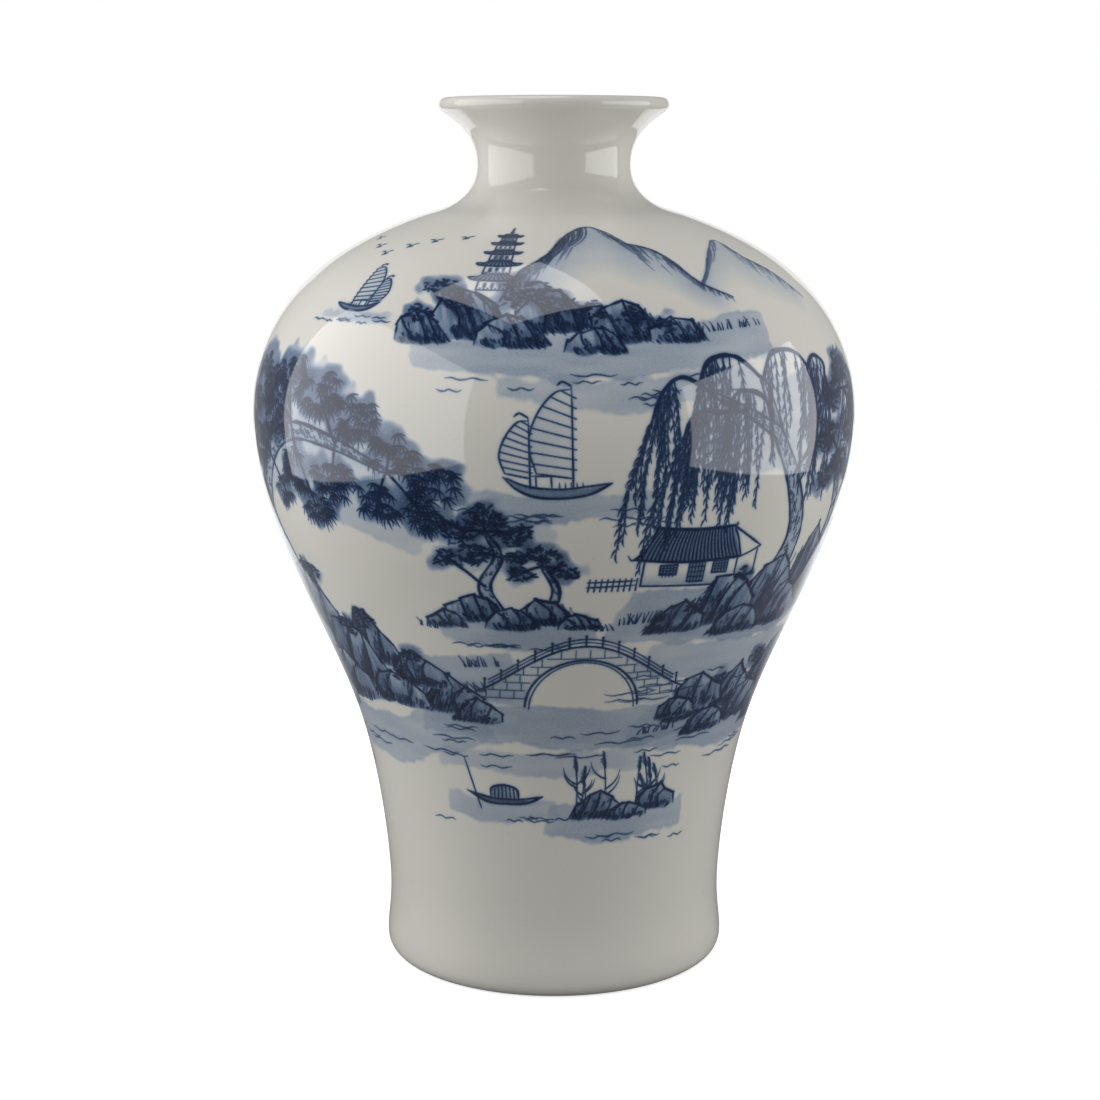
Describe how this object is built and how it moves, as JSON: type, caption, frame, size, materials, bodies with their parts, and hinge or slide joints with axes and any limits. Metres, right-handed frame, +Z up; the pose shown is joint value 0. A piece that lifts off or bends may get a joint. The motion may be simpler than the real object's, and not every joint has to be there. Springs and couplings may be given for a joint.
{
  "type": "porcelain vase",
  "caption": "Tall glazed porcelain vase with a narrow flared neck, broad round shoulder and a body that tapers to a straight foot.",
  "frame": {"origin": "centre of the foot, on the surface that the vase stands on", "axes": "+Z up along the vase's axis; the painted view that faces the picture's camera looks towards -Y, with +X to the right"},
  "size_m": [0.2358, 0.2358, 0.34],
  "materials": {
    "glazed_porcelain": "clear gloss glaze over white porcelain with cobalt blue painting under it",
    "bare_biscuit": "unglazed fired porcelain, matt",
    "dried_slip": "fired slip, satin"
  },
  "bodies": {
    "root": {"neck_and_mouth": "glazed_porcelain", "shoulder_section": "glazed_porcelain", "flank_section": "glazed_porcelain", "foot_section": "glazed_porcelain", "floor_slab": "glazed_porcelain", "foot_ring": "bare_biscuit", "slip_joint_neck": "dried_slip", "slip_joint_belly": "dried_slip", "slip_joint_waist": "dried_slip", "slip_joint_floor": "dried_slip", "slip_joint_foot": "dried_slip"}
  },
  "joints": []
}
